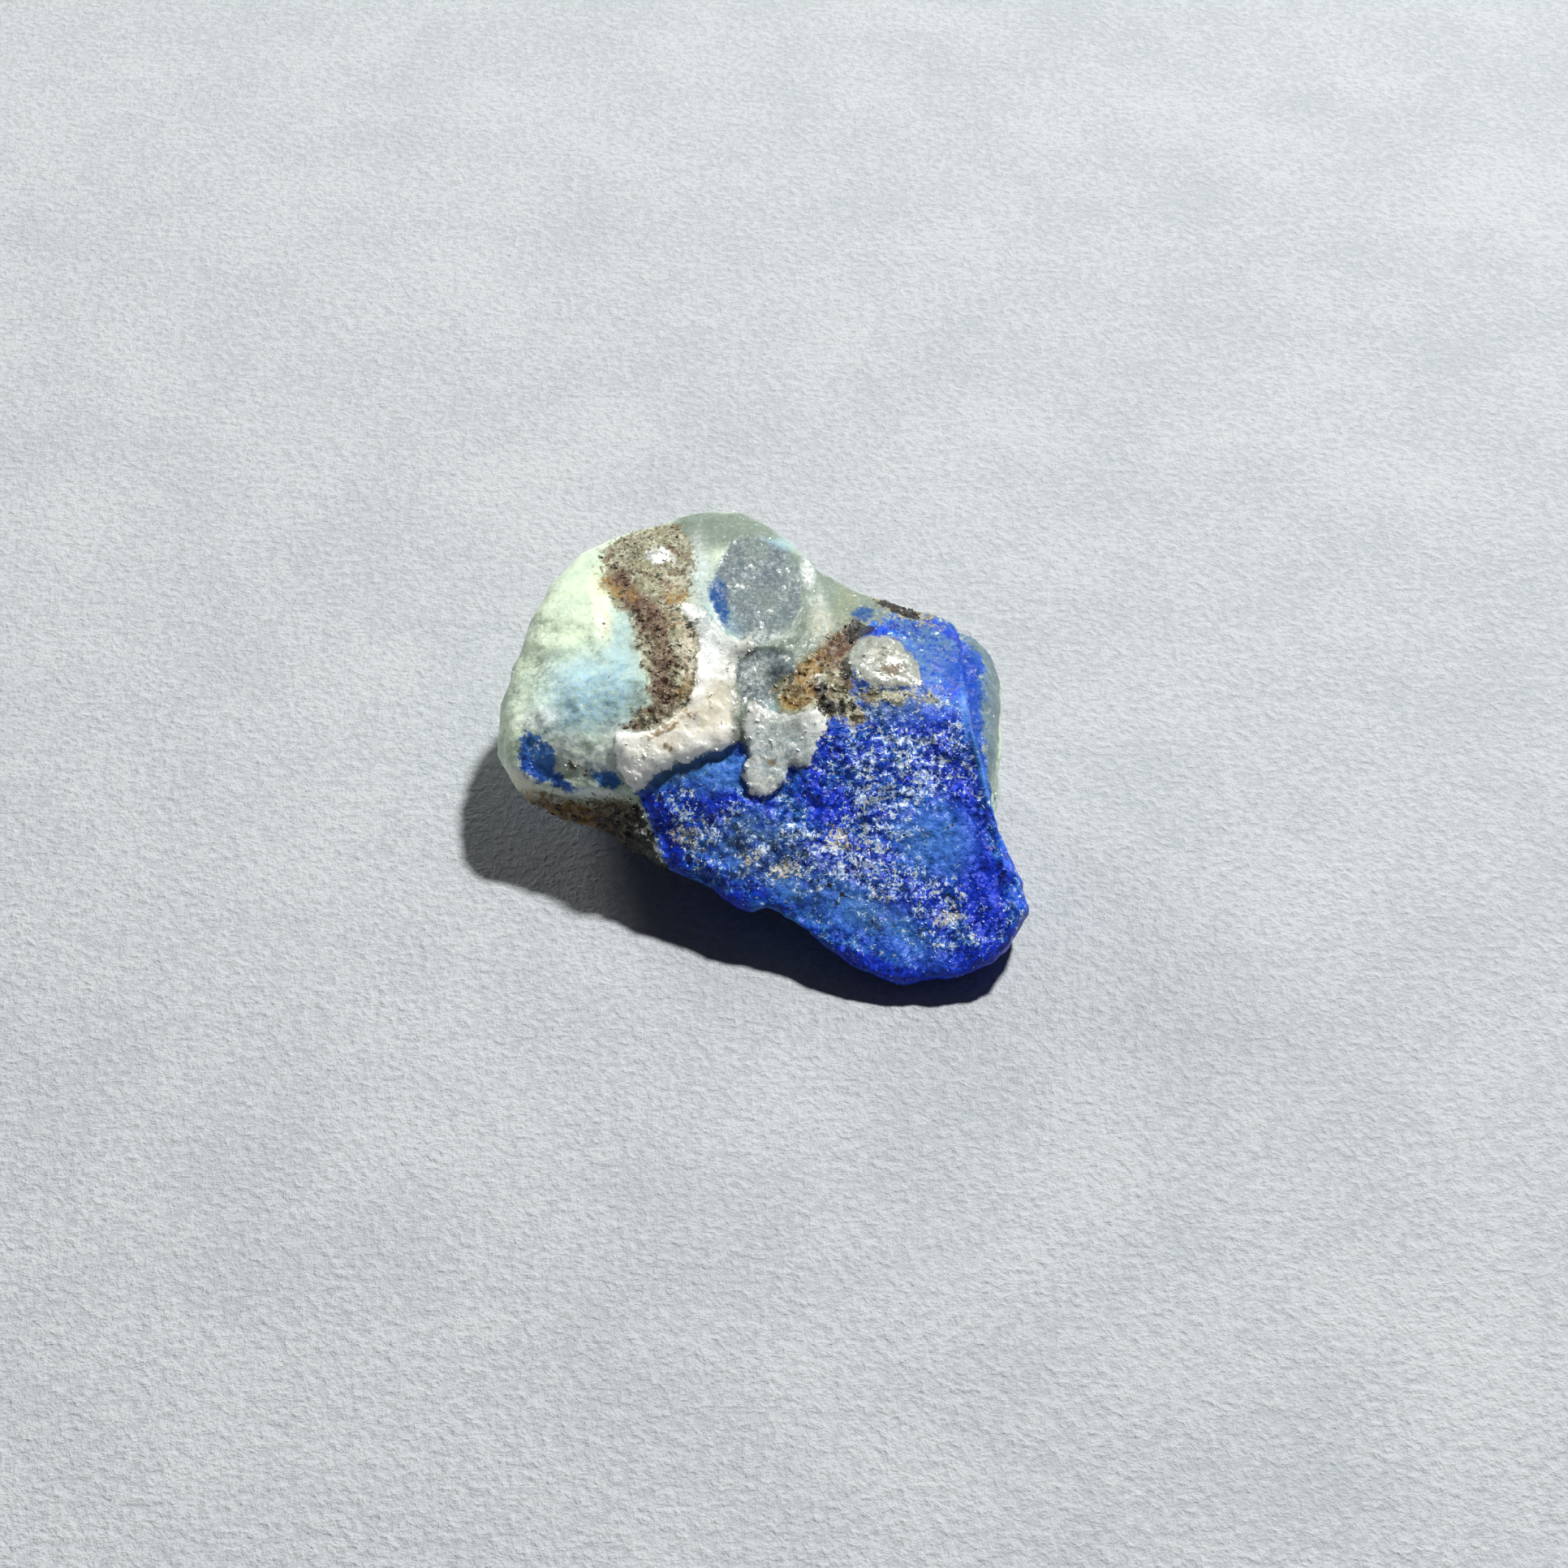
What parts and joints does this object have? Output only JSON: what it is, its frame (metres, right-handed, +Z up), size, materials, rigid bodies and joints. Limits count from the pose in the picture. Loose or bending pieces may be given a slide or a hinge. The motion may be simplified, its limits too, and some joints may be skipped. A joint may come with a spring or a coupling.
{
  "type": "afghanite specimen",
  "caption": "Rough, unpolished piece of afghanite rock with a blue break face, a pale green shoulder and white calcite, resting on a flat face.",
  "frame": {"origin": "middle of the bounding box's bottom, on the ground it rests on", "axes": "+X to the stone's right seen from its show side, +Y to its back, +Z up"},
  "size_m": [0.0248, 0.0242, 0.0106],
  "materials": {
    "stone": "satin"
  },
  "bodies": {
    "root": {"afghanite_stone": "stone"}
  },
  "joints": []
}
